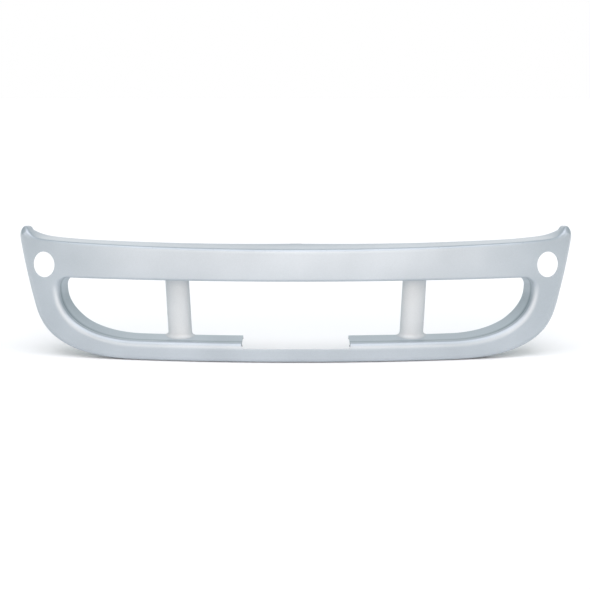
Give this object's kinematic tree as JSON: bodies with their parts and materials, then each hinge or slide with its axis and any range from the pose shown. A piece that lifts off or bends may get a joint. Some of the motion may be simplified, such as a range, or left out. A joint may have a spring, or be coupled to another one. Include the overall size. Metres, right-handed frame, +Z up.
{
  "type": "bumper cover",
  "caption": "Swept, crowned front bumper cover with upturned corner tips, a wide D-ended air opening with a liner and half-round uprights, and round tow pin holes.",
  "frame": {"origin": "on the cover's centre plane, on the rear face of the top centre clip nut, 9 mm below its hole", "axes": "+X along the cover, +Y from its face into the vehicle, +Z up"},
  "size_m": [1.663, 0.2067, 0.3848],
  "materials": {
    "shell_paint": "satin silver paint with fine flake over moulded plastic",
    "liner_paint": "thin satin silver paint over moulded plastic",
    "upright_paint": "satin silver paint over moulded plastic",
    "rivet_nylon": "moulded black nylon",
    "clip_steel": "grey phosphate on spring steel",
    "screw_zinc": "zinc plate"
  },
  "bodies": {
    "cover": {"cover_shell": "shell_paint", "opening_liner": "liner_paint", "upright_left": "upright_paint", "upright_right": "upright_paint", "rivet_top_inner_left": "rivet_nylon", "rivet_top_outer_left": "rivet_nylon", "rivet_end_left": "rivet_nylon", "rivet_bottom_outer_left": "rivet_nylon", "rivet_bottom_inner_left": "rivet_nylon", "rivet_top_inner_right": "rivet_nylon", "rivet_top_outer_right": "rivet_nylon", "rivet_end_right": "rivet_nylon", "rivet_bottom_outer_right": "rivet_nylon", "rivet_bottom_inner_right": "rivet_nylon", "clip_nut_top_centre": "clip_steel", "clip_nut_top_inner_left": "clip_steel", "clip_nut_top_inner_right": "clip_steel", "clip_nut_top_outer_left": "clip_steel", "clip_nut_top_outer_right": "clip_steel", "clip_nut_bottom_inner_left": "clip_steel", "clip_nut_bottom_outer_left": "clip_steel", "clip_nut_side_upper_left": "clip_steel", "clip_nut_side_lower_left": "clip_steel", "clip_nut_bottom_inner_right": "clip_steel", "clip_nut_bottom_outer_right": "clip_steel", "clip_nut_side_upper_right": "clip_steel", "clip_nut_side_lower_right": "clip_steel", "upright_screw_left_bottom_inner": "screw_zinc", "upright_screw_left_bottom_outer": "screw_zinc", "upright_screw_left_top_inner": "screw_zinc", "upright_screw_left_top_outer": "screw_zinc", "upright_screw_right_bottom_inner": "screw_zinc", "upright_screw_right_bottom_outer": "screw_zinc", "upright_screw_right_top_inner": "screw_zinc", "upright_screw_right_top_outer": "screw_zinc"},
    "pin_top_inner_left": {"rivet_pin_top_inner_left": "rivet_nylon"},
    "pin_top_outer_left": {"rivet_pin_top_outer_left": "rivet_nylon"},
    "pin_end_left": {"rivet_pin_end_left": "rivet_nylon"},
    "pin_bottom_outer_left": {"rivet_pin_bottom_outer_left": "rivet_nylon"},
    "pin_bottom_inner_left": {"rivet_pin_bottom_inner_left": "rivet_nylon"},
    "pin_top_inner_right": {"rivet_pin_top_inner_right": "rivet_nylon"},
    "pin_top_outer_right": {"rivet_pin_top_outer_right": "rivet_nylon"},
    "pin_end_right": {"rivet_pin_end_right": "rivet_nylon"},
    "pin_bottom_outer_right": {"rivet_pin_bottom_outer_right": "rivet_nylon"},
    "pin_bottom_inner_right": {"rivet_pin_bottom_inner_right": "rivet_nylon"}
  },
  "joints": [
    {"name": "pin_top_inner_left_pull", "type": "slide", "parent": "cover", "child": "pin_top_inner_left", "axis": [0.0592, 0.9955, -0.0736], "range_m": [0, 0.006]},
    {"name": "pin_top_outer_left_pull", "type": "slide", "parent": "cover", "child": "pin_top_outer_left", "axis": [0.1768, 0.9815, -0.0735], "range_m": [0, 0.006]},
    {"name": "pin_end_left_pull", "type": "slide", "parent": "cover", "child": "pin_end_left", "axis": [0.3749, 0.9265, -0.0332], "range_m": [0, 0.006]},
    {"name": "pin_bottom_outer_left_pull", "type": "slide", "parent": "cover", "child": "pin_bottom_outer_left", "axis": [0.1543, 0.987, 0.0445], "range_m": [0, 0.006]},
    {"name": "pin_bottom_inner_left_pull", "type": "slide", "parent": "cover", "child": "pin_bottom_inner_left", "axis": [0.0675, 0.9967, 0.0445], "range_m": [0, 0.006]},
    {"name": "pin_top_inner_right_pull", "type": "slide", "parent": "cover", "child": "pin_top_inner_right", "axis": [-0.0592, 0.9955, -0.0736], "range_m": [0, 0.006]},
    {"name": "pin_top_outer_right_pull", "type": "slide", "parent": "cover", "child": "pin_top_outer_right", "axis": [-0.1768, 0.9815, -0.0735], "range_m": [0, 0.006]},
    {"name": "pin_end_right_pull", "type": "slide", "parent": "cover", "child": "pin_end_right", "axis": [-0.3749, 0.9265, -0.0332], "range_m": [0, 0.006]},
    {"name": "pin_bottom_outer_right_pull", "type": "slide", "parent": "cover", "child": "pin_bottom_outer_right", "axis": [-0.1543, 0.987, 0.0445], "range_m": [0, 0.006]},
    {"name": "pin_bottom_inner_right_pull", "type": "slide", "parent": "cover", "child": "pin_bottom_inner_right", "axis": [-0.0675, 0.9967, 0.0445], "range_m": [0, 0.006]}
  ]
}
